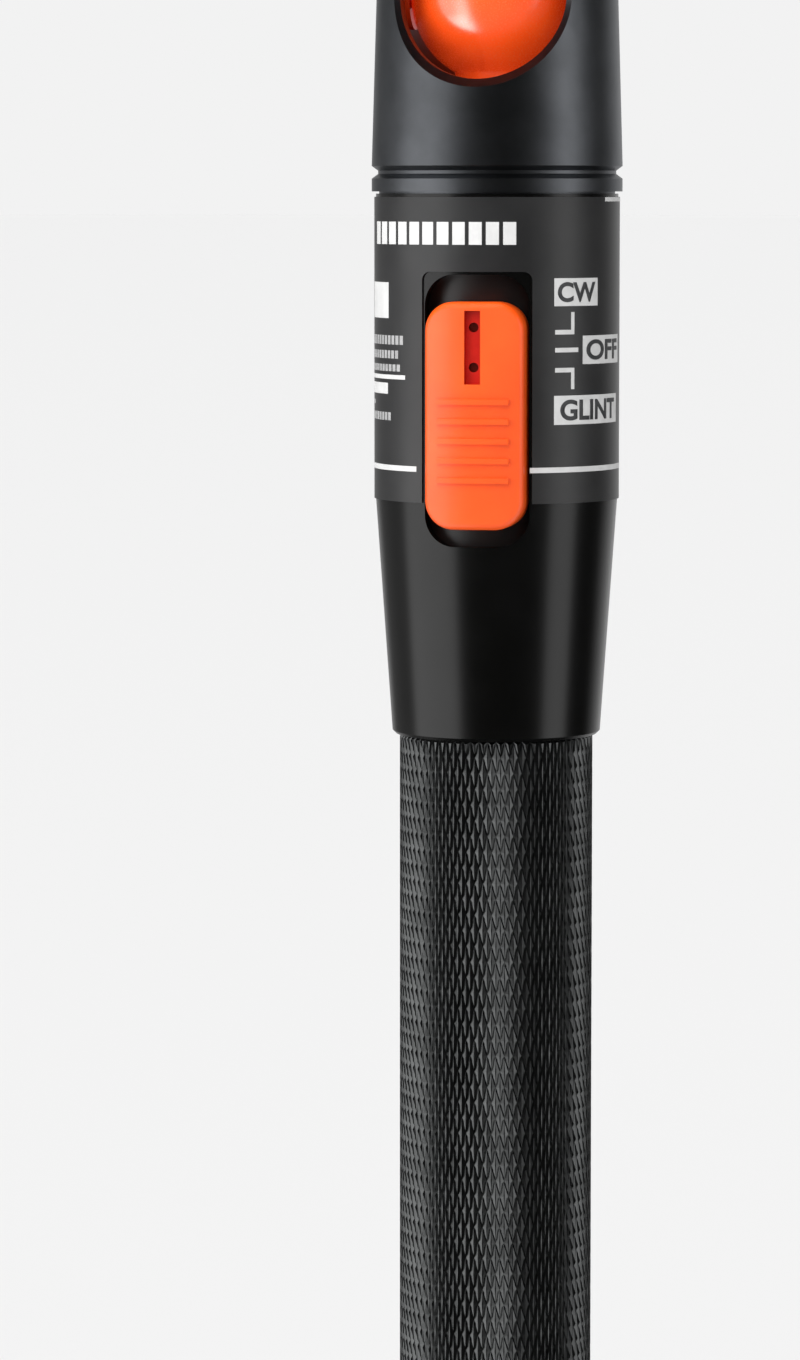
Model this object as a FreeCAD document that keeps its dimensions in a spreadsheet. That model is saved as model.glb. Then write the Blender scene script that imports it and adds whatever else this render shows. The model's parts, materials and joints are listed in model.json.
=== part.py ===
"""Pen-shaped visual fault locator: knurled battery tube with a screw plug in its foot, switch housing, and a
head with a covered 2.5 mm port.

Millimetres. +Z runs from the foot up to the port, -Y faces the thumb switch, and the origin is the centre of
the battery tube's flat rim, which the pen stands on.
"""

import FreeCAD, Part
import math
import os
import Sketcher
from FreeCAD import Placement, Rotation, Vector

doc = FreeCAD.newDocument("FaultLocator")

# ---------------------------------------------------------------------------
# Driving dimensions
# ---------------------------------------------------------------------------

SIZES = {
    # tail cap and battery tube
    "cap_recess": 0.4,
    "cap_land": 6.6,
    "cap_bevel": 0.4,
    "cap_floor": 2.5,
    "coin_slot_width": 2.0,
    "coin_slot_depth": 1.1,
    "foot_bevel": 0.6,
    "cap_spigot_step": 0.5,
    "cap_spigot_length": 6.0,
    "cap_thread_depth": 0.4,
    "cap_cup_wall": 1.8,
    "seam_gap": 0.2,
    "seal_wire_radius": 0.5,
    "seal_above_cap": 0.5,
    "spring_wire_radius": 0.45,
    "spring_side_gap": 0.2,
    "spring_tip_radius": 3.0,
    "spring_turns": 4.0,
    "tube_neck_wall": 1.2,
    "tube_neck_step": 0.5,
    "tube_neck_length": 11.5,
    "thread_clearance": 0.1,
    "edge_break": 0.3,
    # AA cells and their contacts
    "cell_radius": 7.1,
    "cell_side_gap": 0.4,
    "cell_lift": 0.9,
    "cell_length": 50.5,
    "cell_bevel": 0.5,
    "nub_radius": 2.7,
    "nub_height": 1.0,
    "cell_gap": 0.1,
    "ring_thickness": 0.4,
    "ledge_thickness": 3.0,
    "insulator_thickness": 1.6,
    "contact_radius": 3.4,
    "contact_thickness": 0.8,
    "tab_width": 4.0,
    "tab_thickness": 0.4,
    "tab_height": 4.2,
    # switch housing and its printed sleeve
    "cone_height": 22.4,
    "cone_step": 0.68,
    "cone_flare": 1.57,
    "housing_wall": 1.85,
    "sleeve_above_slot": 7.15,
    "sleeve_thickness": 0.12,
    "glue_line": 0.03,
    "sleeve_margin": 0.3,
    "slot_side_gap": 0.3,
    "slot_end_gap": 0.5,
    "slot_corner": 2.9,
    "slot_below_sleeve": 4.05,
    "tray_thickness": 1.0,
    "tray_margin": 2.0,
    "sleeve_slot_margin": 0.25,
    "sleeve_slot_corner": 0.8,
    # thumb switch
    "button_width": 9.3,
    "button_height": 21.1,
    "button_corner": 2.7,
    "button_proud": 1.3,
    "button_rim": 0.7,
    "button_floor_gap": 0.3,
    "button_drop": 0.4,
    "mark_width": 1.5,
    "mark_height": 6.8,
    "mark_depth": 0.8,
    "mark_below_top": 0.8,
    "mark_hole_radius": 0.45,
    "mark_hole_depth": 0.6,
    "mark_hole_pitch": 3.7,
    "rib_count": 5,
    "rib_pitch": 1.82,
    "rib_height": 0.32,
    "rib_thickness": 0.5,
    "rib_width": 6.8,
    "rib_above_foot": 4.6,
    "switch_travel": 1.6,
    "stem_width": 4.2,
    "stem_height": 5.2,
    "stem_clearance": 0.3,
    "clip_rim": 1.1,
    "clip_thickness": 0.8,
    "clip_gap": 0.4,
    "knob_width": 1.6,
    "knob_height": 1.8,
    "knob_reach": 1.6,
    "knob_clearance": 0.1,
    "rocker_width": 3.0,
    "rocker_height": 4.0,
    "rocker_thickness": 1.2,
    # circuit board and what it carries
    "board_thickness": 1.2,
    "board_side_gap": 0.24,
    "board_height": 24.0,
    "case_width": 4.6,
    "case_height": 12.4,
    "case_depth": 3.8,
    "case_wall": 0.5,
    "case_gap": 0.7,
    "chip_width": 5.0,
    "chip_height": 4.0,
    "chip_thickness": 1.5,
    "chip_lift": 1.6,
    "capacitor_radius": 2.5,
    "capacitor_length": 5.4,
    # collar and head
    "collar_step": 0.39,
    "collar_band": 1.2,
    "collar_shadow": 0.7,
    "groove_depth": 0.6,
    "groove_flank": 0.45,
    "groove_floor": 0.3,
    "collar_spigot_length": 4.0,
    "collar_neck_step": 1.54,
    "collar_neck_length": 3.45,
    "collar_wall": 1.0,
    "head_taper": 0.82,
    "head_shoulder": 1.6,
    "head_seat": 0.9,
    "head_mouth_step": 1.5,
    "head_mouth_bevel": 0.6,
    "head_crown": 2.5,
    "window_step": 0.25,
    "window_bevel": 0.75,
    "window_headroom": 0.15,
    # port guard, visor and pins
    "guard_wall": 1.2,
    "guard_stand": 3.2,
    "guard_neck_radius": 3.0,
    "guard_foot_wall": 0.9,
    "guard_mouth_step": 2.1,
    "neck_clearance": 0.1,
    "visor_gap": 0.3,
    "visor_thickness": 0.8,
    "visor_half_angle": 50.0,
    "visor_clearance": 0.3,
    "visor_ear_radius": 3.0,
    "lip_angle": 34.0,
    "lip_height": 0.7,
    "lip_width": 6.0,
    "lip_thickness": 0.9,
    "pin_radius": 1.0,
    "pin_clearance": 0.06,
    "pin_recess": 0.1,
    "pin_tail": 0.3,
    # port and laser
    "ferrule_radius": 1.25,
    "split_sleeve_wall": 0.35,
    "split_sleeve_seat": 0.6,
    "split_sleeve_slit": 0.3,
    "split_sleeve_clearance": 0.02,
    "nozzle_wall": 0.53,
    "nozzle_above_ball": 1.0,
    "nozzle_lip": 0.4,
    "nozzle_lip_clearance": 0.06,
    "nozzle_lip_flare": 0.25,
    "nozzle_shoulder": 4.8,
    "nozzle_taper": 1.2,
    "nozzle_flange_radius": 6.5,
    "nozzle_flange": 1.5,
    "beam_radius": 1.0,
    "block_flange_radius": 10.2,
    "block_flange": 1.5,
    "block_radius": 6.0,
    "block_length": 12.0,
    "diode_can_gap": 0.2,
    "lens_thickness": 1.8,
    "lens_drop": 2.5,
    "lens_bulge": 3.2,
    "diode_flange_radius": 2.8,
    "diode_flange": 1.2,
    "diode_seat_depth": 2.0,
    "diode_can_radius": 1.8,
    "diode_can_length": 2.3,
    "diode_lead_radius": 0.23,
    "diode_lead_circle": 1.27,
    "diode_lead_length": 3.0,
    "fit_gap": 0.05,
}

sheet = doc.addObject("Spreadsheet::Sheet", "Sizes")
for row, (alias, number) in enumerate(SIZES.items(), start=1):
    sheet.set(f"A{row}", alias)
    sheet.set(f"B{row}", str(number))
    sheet.setAlias(f"B{row}", alias)
doc.recompute()


class Size(str):
    """An expression over the sheet's cells that can be added to, taken from and scaled like a number."""

    def __add__(self, other):
        return Size(f"({self} + {other})")

    def __sub__(self, other):
        return Size(f"({self} - {other})")

    def __mul__(self, other):
        return Size(f"({self} * {other})")

    def __truediv__(self, other):
        return Size(f"({self} / {other})")

    def __neg__(self):
        return Size(f"(0 mm - {self})")


def size(alias):
    return Size(f"Sizes.{alias} * 1 mm")


def angle(alias):
    return Size(f"Sizes.{alias} * 1 deg")


ZERO = Size("0 mm")


def mm(expression):
    """The present value of an expression, in millimetres or degrees."""
    found = sheet.evalExpression(str(expression))
    return float(getattr(found, "Value", found))


# ---------------------------------------------------------------------------
# Ways of making solids
# ---------------------------------------------------------------------------


def placed(thing, x=ZERO, y=ZERO, z=ZERO):
    for axis, place in (("x", x), ("y", y), ("z", z)):
        if place is not ZERO:
            thing.setExpression(f"Placement.Base.{axis}", place)
    return thing


def cylinder(name, radius, length, x=ZERO, y=ZERO, z=ZERO, along=Vector(0, 0, 1)):
    """A cylinder that starts at x, y, z and runs along the given direction."""
    made = doc.addObject("Part::Cylinder", name)
    made.setExpression("Radius", radius)
    made.setExpression("Height", length)
    made.Placement = Placement(Vector(), Rotation(Vector(0, 0, 1), along))
    return placed(made, x, y, z)


def sphere(name, radius, z):
    made = doc.addObject("Part::Sphere", name)
    made.setExpression("Radius", radius)
    return placed(made, z=z)


def block(name, width, depth, height, y, z, x=ZERO):
    """A box centred on x, from y towards +Y and from z upwards."""
    made = doc.addObject("Part::Box", name)
    made.setExpression("Length", width)
    made.setExpression("Width", depth)
    made.setExpression("Height", height)
    return placed(made, x - width / 2, y, z)


def fused(name, pieces):
    made = doc.addObject("Part::MultiFuse", name)
    made.Shapes = pieces
    made.Refine = True
    return made


def shared(name, pieces):
    made = doc.addObject("Part::MultiCommon", name)
    made.Shapes = pieces
    made.Refine = True
    return made


def cut(name, base, tools):
    made = doc.addObject("Part::Cut", name)
    made.Base = base
    made.Tool = tools[0] if len(tools) == 1 else fused(f"{name}Tools", tools)
    made.Refine = True
    return made


def plane_of(body, role):
    return next(found for found in body.Origin.OriginFeatures if found.Role == role)


def sketch_on(body, role, name, offset=ZERO):
    sketch = body.newObject("Sketcher::SketchObject", name)
    sketch.AttachmentSupport = (plane_of(body, role), "")
    sketch.MapMode = "FlatFace"
    if offset is not ZERO:
        sketch.setExpression("AttachmentOffset.Base.z", offset)
    return sketch


def drive(sketch, kind, geometry, position, expression):
    """Holds one coordinate of a sketch point at the value of an expression."""
    number = sketch.addConstraint(Sketcher.Constraint(kind, -1, 1, geometry, position, mm(expression)))
    sketch.setExpression(f"Constraints[{number}]", expression)


def polygon(sketch, outline):
    """Draws a closed outline of straight lines through points given as pairs of expressions."""
    corners = [Vector(mm(across), mm(up), 0) for across, up in outline]
    count = len(corners)
    for here in range(count):
        sketch.addGeometry(Part.LineSegment(corners[here], corners[(here + 1) % count]), False)
    for here in range(count):
        sketch.addConstraint(Sketcher.Constraint("Coincident", here, 2, (here + 1) % count, 1))
    for here, (across, up) in enumerate(outline):
        if across is ZERO:
            sketch.addConstraint(Sketcher.Constraint("PointOnObject", here, 1, -2))
        else:
            drive(sketch, "DistanceX", here, 1, across)
        if up is ZERO:
            sketch.addConstraint(Sketcher.Constraint("PointOnObject", here, 1, -1))
        else:
            drive(sketch, "DistanceY", here, 1, up)


def turned(name, outline):
    """A body turned about Z from radius and height pairs."""
    body = doc.addObject("PartDesign::Body", name)
    profile = sketch_on(body, "XZ_Plane", f"{name}Profile")
    polygon(profile, outline)
    turn = body.newObject("PartDesign::Revolution", f"{name}Turn")
    turn.Profile = profile
    turn.ReferenceAxis = (profile, ["V_Axis"])
    turn.Angle = 360
    body.Tip = turn
    profile.Visibility = False
    doc.recompute()
    return body


def edges_of(feature, wanted):
    return [f"Edge{number}" for number, edge in enumerate(feature.Shape.Edges, start=1) if wanted(edge)]


def rounded(body, name, kind, property_name, expression, wanted):
    """Adds a fillet or chamfer to the edges of a body that are wanted."""
    base = body.Tip
    edges = edges_of(base, wanted)
    if not edges:
        raise ValueError(f"{name} finds no edges")
    made = body.newObject(f"PartDesign::{kind}", name)
    made.Base = (base, edges)
    made.setExpression(property_name, expression)
    body.Tip = made
    doc.recompute()
    return body


def circle_at(radius, height):
    """Picks the round edges of one radius at one height."""
    reach = mm(radius)
    level = mm(height)

    def wanted(edge):
        centre = getattr(edge.Curve, "Center", None)
        return (
            centre is not None
            and hasattr(edge.Curve, "Radius")
            and abs(edge.Curve.Radius - reach) < 1e-4
            and abs(centre.z - level) < 1e-4
        )

    return wanted


def runs_along_y(edge):
    return edge.BoundBox.XLength < 1e-6 and edge.BoundBox.ZLength < 1e-6 and edge.BoundBox.YLength > 1e-6


def front_plate(name, width, height, corner, centre_z, near, far):
    """A plate with rounded corners that faces -Y, between two distances in front of the axis."""
    body = doc.addObject("PartDesign::Body", name)
    outline = sketch_on(body, "XZ_Plane", f"{name}Outline", near)
    half = width / 2
    foot = centre_z - height / 2
    top = centre_z + height / 2
    polygon(outline, [(-half, foot), (half, foot), (half, top), (-half, top)])
    pad = body.newObject("PartDesign::Pad", f"{name}Pad")
    pad.Profile = outline
    pad.setExpression("Length", far - near)
    body.Tip = pad
    outline.Visibility = False
    doc.recompute()
    return rounded(body, f"{name}Corners", "Fillet", "Radius", corner, runs_along_y)


def ring(name, outer, inner, length, z):
    rod = cylinder(f"{name}Rod", outer, length, z=z)
    return cut(name, rod, [cylinder(f"{name}Bore", inner, length, z=z)])


NODES = {}


def node(label, thing):
    thing.Label = label
    NODES[label] = thing


# ---------------------------------------------------------------------------
# Levels that several pieces share
# ---------------------------------------------------------------------------

tube_bore = size("cell_radius") + size("cell_side_gap")
neck_radius = tube_bore + size("tube_neck_wall")
grip_radius = neck_radius + size("tube_neck_step")
spigot_radius = tube_bore + size("cap_spigot_step")
cone_radius = grip_radius + size("cone_step")
housing_radius = cone_radius + size("cone_flare")
sleeve_inner_radius = housing_radius + size("glue_line")
sleeve_radius = sleeve_inner_radius + size("sleeve_thickness")
bore = housing_radius - size("housing_wall")
collar_radius = housing_radius + size("collar_step")
collar_neck_radius = collar_radius - size("collar_neck_step")
socket_radius = collar_neck_radius + size("thread_clearance")
cavity_radius = socket_radius - size("head_seat")
visor_far = cavity_radius - size("visor_clearance")
visor_near = visor_far - size("visor_thickness")
guard_radius = visor_near - size("visor_gap")
window_radius = guard_radius - size("window_step")
crown_radius = sleeve_radius + size("button_proud")

cap_foot = size("cap_recess")
cap_top = cap_foot + size("cap_land")
spigot_top = cap_top + size("cap_spigot_length")
rear_cell_foot = spigot_top + size("cell_lift")
ledge_top = rear_cell_foot + size("cell_length") * 2
ledge_foot = ledge_top - size("ledge_thickness")
tube_top = ledge_foot - size("ring_thickness")
cone_foot = tube_top - size("tube_neck_length")
insulator_top = ledge_top + size("insulator_thickness")
sleeve_foot = cone_foot + size("cone_height")

slot_width = size("button_width") + size("slot_side_gap") * 2
slot_height = size("button_height") + size("switch_travel") * 2 + size("slot_end_gap") * 2
slot_foot = sleeve_foot - size("slot_below_sleeve")
slot_top = slot_foot + slot_height
slot_middle = slot_foot + slot_height / 2
button_middle = slot_middle - size("button_drop")
button_foot = button_middle - size("button_height") / 2
button_top = button_middle + size("button_height") / 2

sleeve_top = slot_top + size("sleeve_above_slot")
housing_top = sleeve_top + size("sleeve_margin")
band_foot = housing_top + size("seam_gap")
band_top = band_foot + size("collar_band")
groove_foot = band_top + size("groove_flank")
collar_top = groove_foot + size("groove_floor")
collar_neck_top = collar_top + size("collar_neck_length")
block_top = collar_neck_top + size("block_flange")
block_foot = collar_neck_top - size("block_length")
ball_centre = block_top + size("guard_stand") + guard_radius
head_top = ball_centre + cavity_radius + size("head_crown")

tray_inner = bore - size("tray_thickness")
button_back = bore + size("button_floor_gap")
clip_front = tray_inner - size("clip_gap") - size("stem_clearance")
clip_back = clip_front - size("clip_thickness")
case_front = clip_back - size("case_gap")
board_front = case_front - size("case_depth")
board_back = board_front - size("board_thickness")

# ---------------------------------------------------------------------------
# Tail cap, its seal and its spring
# ---------------------------------------------------------------------------


def make_tail_cap():
    bevel = size("cap_bevel")
    spigot = spigot_radius
    thread_root = spigot - size("cap_thread_depth")
    cup = spigot - size("cap_cup_wall")
    wire = size("seal_wire_radius")
    seal_foot = cap_top + size("seal_above_cap")
    seal_top = seal_foot + wire * 2
    seal_centre = spigot + size("thread_clearance") - size("fit_gap") - wire
    groove = seal_centre - wire
    land_top = seal_top + size("seal_above_cap")
    floor = size("cap_floor")
    plug = turned("CapPlug", [
        (ZERO, cap_foot),
        (spigot - bevel, cap_foot),
        (spigot, cap_foot + bevel),
        (spigot, seal_foot),
        (groove, seal_foot),
        (groove, seal_top),
        (spigot, seal_top),
        (spigot, land_top),
        (thread_root, land_top),
        (thread_root, spigot_top - size("edge_break")),
        (thread_root - size("edge_break"), spigot_top),
        (cup, spigot_top),
        (cup, floor),
        (ZERO, floor),
    ])
    slot_wide = size("coin_slot_width")
    coin_slot = block("CoinSlot", spigot * 4, slot_wide, size("coin_slot_depth"), -slot_wide / 2, cap_foot)
    node("tail_cap", cut("TailCap", plug, [coin_slot]))
    seal = doc.addObject("Part::Torus", "TailSeal")
    seal.setExpression("Radius1", seal_centre)
    seal.setExpression("Radius2", wire)
    node("tail_seal", placed(seal, z=(seal_foot + wire)))

    coil = doc.addObject("Part::Helix", "SpringCoil")
    spring_wire = size("spring_wire_radius")
    foot_radius = cup - size("spring_side_gap") - spring_wire
    tip_radius = size("spring_tip_radius")
    coil_height = rear_cell_foot - size("cell_gap") - floor - spring_wire * 2
    coil.setExpression("Height", coil_height)
    coil.setExpression("Pitch", Size(f"{coil_height} / Sizes.spring_turns"))
    coil.setExpression("Radius", foot_radius)
    coil.setExpression("Angle", Size(f"-1 * atan(({foot_radius} - {tip_radius}) / {coil_height})"))
    placed(coil, z=floor + spring_wire)
    section = doc.addObject("Part::Circle", "SpringWire")
    section.setExpression("Radius", spring_wire)
    section.Placement = Placement(Vector(), Rotation(Vector(1, 0, 0), 90))
    placed(section, x=foot_radius, z=floor + spring_wire)
    spring = doc.addObject("Part::Sweep", "TailSpring")
    spring.Sections = [section]
    spring.Spine = (coil, ["Edge1"])
    spring.Solid = True
    spring.Frenet = True
    node("tail_spring", spring)


# ---------------------------------------------------------------------------
# Battery tube, cells and contacts
# ---------------------------------------------------------------------------


def make_tube():
    outer = grip_radius
    neck = neck_radius
    inner = tube_bore
    socket = spigot_radius + size("thread_clearance")
    bevel = size("edge_break")
    foot_bevel = size("foot_bevel")
    node("grip_tube", turned("GripTube", [
        (socket, ZERO),
        (outer - foot_bevel, ZERO),
        (outer, foot_bevel),
        (outer, cone_foot),
        (neck, cone_foot),
        (neck, tube_top - bevel),
        (neck - bevel, tube_top),
        (inner, tube_top),
        (inner, spigot_top + size("seam_gap")),
        (socket, spigot_top + size("seam_gap")),
    ]))
    node("ground_ring", ring("GroundRing", neck - bevel, inner, size("ring_thickness"), tube_top))


def make_cell(label, name, top):
    radius = size("cell_radius")
    bevel = size("cell_bevel")
    nub = size("nub_radius")
    shoulder = top - size("nub_height")
    foot = top - size("cell_length")
    node(label, turned(name, [
        (ZERO, foot),
        (radius - bevel, foot),
        (radius, foot + bevel),
        (radius, shoulder - bevel),
        (radius - bevel, shoulder),
        (nub, shoulder),
        (nub, top),
        (ZERO, top),
    ]))


def make_contacts():
    wide = size("tab_width")
    thick = size("tab_thickness")
    disc_top = ledge_top + size("contact_thickness")
    disc = cylinder("ContactDisc", size("contact_radius"), size("contact_thickness"), z=ledge_top)
    tab = block("ContactTab", wide, thick, size("tab_height"), -board_back, disc_top)
    node("front_contact", fused("FrontContact", [disc, tab]))
    insulator = cylinder("InsulatorDisc", bore, size("insulator_thickness"), z=ledge_top)
    node("contact_insulator", cut("ContactInsulator", insulator, [
        cylinder("ContactRecess", size("contact_radius"), size("contact_thickness"), z=ledge_top),
        block("TabSlot", wide, thick, size("tab_height"), -board_back, disc_top),
    ]))


# ---------------------------------------------------------------------------
# Switch housing, printed sleeve and switch tray
# ---------------------------------------------------------------------------


def make_housing():
    radius = housing_radius
    socket = neck_radius + size("thread_clearance")
    foot = cone_radius
    bevel = size("edge_break")
    inner = tube_bore
    barrel = turned("HousingBarrel", [
        (socket, cone_foot),
        (foot - bevel, cone_foot),
        (foot, cone_foot + bevel),
        (radius, sleeve_foot),
        (radius, housing_top),
        (bore, housing_top),
        (bore, ledge_top),
        (inner, ledge_top),
        (inner, ledge_foot),
        (socket, ledge_foot),
    ])
    corner = size("slot_corner")
    opening = front_plate("SlotOpening", slot_width, slot_height, corner, slot_middle, board_front,
                          radius * 2)
    node("switch_housing", cut("SwitchHousing", barrel, [opening]))

    margin = size("sleeve_slot_margin")
    window = front_plate("SleeveWindow", slot_width + margin * 2, slot_height + margin * 2,
                         size("sleeve_slot_corner"), slot_middle, board_front, radius * 2)
    skin = ring("SleeveRing", sleeve_radius, sleeve_inner_radius, sleeve_top - sleeve_foot, sleeve_foot)
    node("printed_sleeve", cut("PrintedSleeve", skin, [window]))

    tray_height = slot_top + size("tray_margin") - insulator_top
    shell = ring("TrayRing", bore, tray_inner, tray_height, insulator_top)
    front_half = block("TrayHalf", bore * 2, bore - board_front, tray_height, -bore, insulator_top)
    play = size("stem_clearance") + size("switch_travel")
    passage_height = size("stem_height") + play * 2
    passage = block("StemPassage", size("stem_width") + size("stem_clearance") * 2, bore * 2 - board_front,
                    passage_height, -bore * 2, button_middle - passage_height / 2)
    node("slide_tray", cut("SlideTray", shared("TrayShell", [shell, front_half]), [passage]))


# ---------------------------------------------------------------------------
# Thumb button, its clip and the rocker of the switch
# ---------------------------------------------------------------------------


def make_button():
    wide = size("button_width")
    tall = size("button_height")
    crown = crown_radius
    slab = front_plate("ButtonSlab", wide, tall, size("button_corner"), button_middle, board_front, crown * 2)
    bowed = ring("ButtonBow", crown, button_back, tall, button_foot)
    pad = shared("ButtonPad", [slab, bowed])
    doc.recompute()
    soft = doc.addObject("Part::Fillet", "ButtonSoft")
    soft.Base = pad
    reach = mm(size("button_rim"))
    crowned = [
        number
        for number, edge in enumerate(pad.Shape.Edges, start=1)
        if all(math.hypot(v.X, v.Y) > mm(crown) - 1e-3 for v in edge.Vertexes)
    ]
    soft.Edges = [(number, reach, reach) for number in crowned]

    rib_width = size("rib_width")
    rib_thickness = size("rib_thickness")
    ribs = []
    for number in range(int(mm(size("rib_count")))):
        rise = size("rib_above_foot") + size("rib_pitch") * Size(str(number))
        level = button_foot + rise - rib_thickness / 2
        bar = block(f"RibBar{number}", rib_width, crown * 2 - button_back, rib_thickness, -crown * 2, level)
        arc = ring(f"RibArc{number}", crown + size("rib_height"), button_back, rib_thickness, level)
        ribs.append(shared(f"Rib{number}", [bar, arc]))

    mark_top = button_top - size("mark_below_top")
    mark_floor = crown - size("mark_depth")
    groove = block("MarkGroove", size("mark_width"), crown, size("mark_height"), -crown - mark_floor,
                   mark_top - size("mark_height"))
    middle = mark_top - size("mark_height") / 2
    holes = [
        cylinder(f"MarkHole{number}", size("mark_hole_radius"), crown,
                 y=size("mark_hole_depth") - mark_floor, z=middle + size("mark_hole_pitch") * Size(side),
                 along=Vector(0, -1, 0))
        for number, side in enumerate(("-0.5", "0.5"))
    ]
    stem_foot = button_middle - size("stem_height") / 2
    stem_width = size("stem_width")
    stem_height = size("stem_height")
    stem = block("Stem", stem_width, mark_floor - clip_back, stem_height, -mark_floor, stem_foot)
    knob_play = size("knob_clearance")
    knob_room = block("KnobRoom", size("knob_width") + knob_play * 2, size("knob_reach") + knob_play,
                      size("knob_height") + knob_play * 2, -clip_back - size("knob_reach") - knob_play,
                      button_middle - size("knob_height") / 2 - knob_play)
    whole = fused("ButtonWhole", [soft, stem] + ribs)
    node("thumb_button", cut("ThumbButton", whole, [groove, knob_room] + holes))

    rim = size("clip_rim")
    clip = size("clip_thickness")
    plate = block("ClipPlate", stem_width + rim * 2, clip, stem_height + rim * 2, -clip_front,
                  stem_foot - rim)
    hole = block("ClipHole", stem_width, clip, stem_height, -clip_front, stem_foot)
    node("button_clip", cut("ButtonClip", plate, [hole]))

    knob_foot = button_middle - size("knob_height") / 2
    inside = case_front - size("case_wall") - size("stem_clearance")
    knob_front = clip_back + size("knob_reach")
    knob = block("KnobStick", size("knob_width"), knob_front - inside, size("knob_height"), -knob_front,
                 knob_foot)
    rocker_height = size("rocker_height")
    rocker = block("KnobFoot", size("rocker_width"), size("rocker_thickness"), rocker_height, -inside,
                   button_middle - rocker_height / 2)
    node("switch_knob", fused("SwitchKnob", [knob, rocker]))


# ---------------------------------------------------------------------------
# Circuit board and its parts
# ---------------------------------------------------------------------------


def make_electronics():
    half_width = Size(f"(sqrt({bore} * {bore} - {board_front} * {board_front}) - {size('board_side_gap')})")
    thick = size("board_thickness")
    board = block("CircuitBoard", half_width * 2, thick, size("board_height"), -board_front, insulator_top)
    node("circuit_board", board)
    wall = size("case_wall")
    case_foot = button_middle - size("case_height") / 2
    wide = size("case_width")
    deep = size("case_depth")
    tall = size("case_height")
    shell = block("CaseShell", wide, deep, tall, -case_front, case_foot)
    room = block("CaseRoom", wide - wall * 2, deep - wall * 2, tall - wall * 2, -case_front + wall,
                 case_foot + wall)
    clearance = size("knob_clearance")
    gate_height = size("knob_height") + (clearance + size("switch_travel")) * 2
    gate = block("CaseGate", size("knob_width") + clearance * 2, wall * 2, gate_height, -case_front - wall,
                 button_middle - gate_height / 2)
    node("switch_case", cut("SwitchCase", shell, [room, gate]))
    node("driver_chip", block("DriverChip", size("chip_width"), size("chip_thickness"), size("chip_height"),
                              -board_front - size("chip_thickness"), insulator_top + size("chip_lift")))
    node("capacitor", cylinder("Capacitor", size("capacitor_radius"), size("capacitor_length"), y=-board_back,
                               z=button_middle, along=Vector(0, 1, 0)))


# ---------------------------------------------------------------------------
# Collar and head
# ---------------------------------------------------------------------------


def make_collar():
    band = collar_radius
    spigot = bore - size("thread_clearance")
    inner = spigot - size("collar_wall")
    neck = collar_neck_radius
    shadow = band - size("collar_shadow")
    groove = band - size("groove_depth")
    bevel = size("edge_break")
    node("collar", turned("Collar", [
        (inner, housing_top - size("collar_spigot_length")),
        (spigot - bevel, housing_top - size("collar_spigot_length")),
        (spigot, housing_top - size("collar_spigot_length") + bevel),
        (spigot, housing_top),
        (shadow, housing_top),
        (shadow, band_foot),
        (band, band_foot),
        (band, band_top),
        (groove, groove_foot),
        (groove, collar_top),
        (neck, collar_top),
        (neck, collar_neck_top),
        (inner, collar_neck_top),
    ]))


def make_head():
    foot = collar_radius
    groove = foot - size("groove_depth")
    top = foot - size("head_taper")
    mouth = cavity_radius - size("head_mouth_step")
    roof = ball_centre + window_radius + size("window_headroom")
    shell = turned("HeadShell", [
        (socket_radius, collar_top),
        (groove, collar_top),
        (foot, collar_top + size("groove_flank")),
        (top, head_top),
        (mouth, head_top),
        (mouth, roof),
        (cavity_radius, roof),
        (cavity_radius, block_top),
        (socket_radius, block_top),
    ])
    rounded(shell, "HeadShoulder", "Fillet", "Radius", size("head_shoulder"), circle_at(top, head_top))
    rounded(shell, "HeadMouth", "Chamfer", "Size", size("head_mouth_bevel"), circle_at(mouth, head_top))
    window = cylinder("WindowBore", window_radius, foot * 4, y=foot * 2, z=ball_centre,
                      along=Vector(0, -1, 0))
    head = cut("HeadBody", shell, [window])
    doc.recompute()
    limit = mm(window_radius)
    inside = mm(cavity_radius + size("edge_break"))
    outline = []
    for number, edge in enumerate(head.Shape.Edges, start=1):
        points = edge.discretize(9)
        on_bore = all(abs(math.hypot(p.x, p.z - mm(ball_centre)) - limit) < 1e-3 for p in points)
        if on_bore and all(math.hypot(p.x, p.y) > inside for p in points):
            outline.append(number)
    soft = doc.addObject("Part::Chamfer", "HeadFinish")
    soft.Base = head
    bevel = mm(size("window_bevel"))
    soft.Edges = [(number, bevel, bevel) for number in outline]
    node("head_shell", soft)


# ---------------------------------------------------------------------------
# Port guard, visor and pins
# ---------------------------------------------------------------------------


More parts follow.
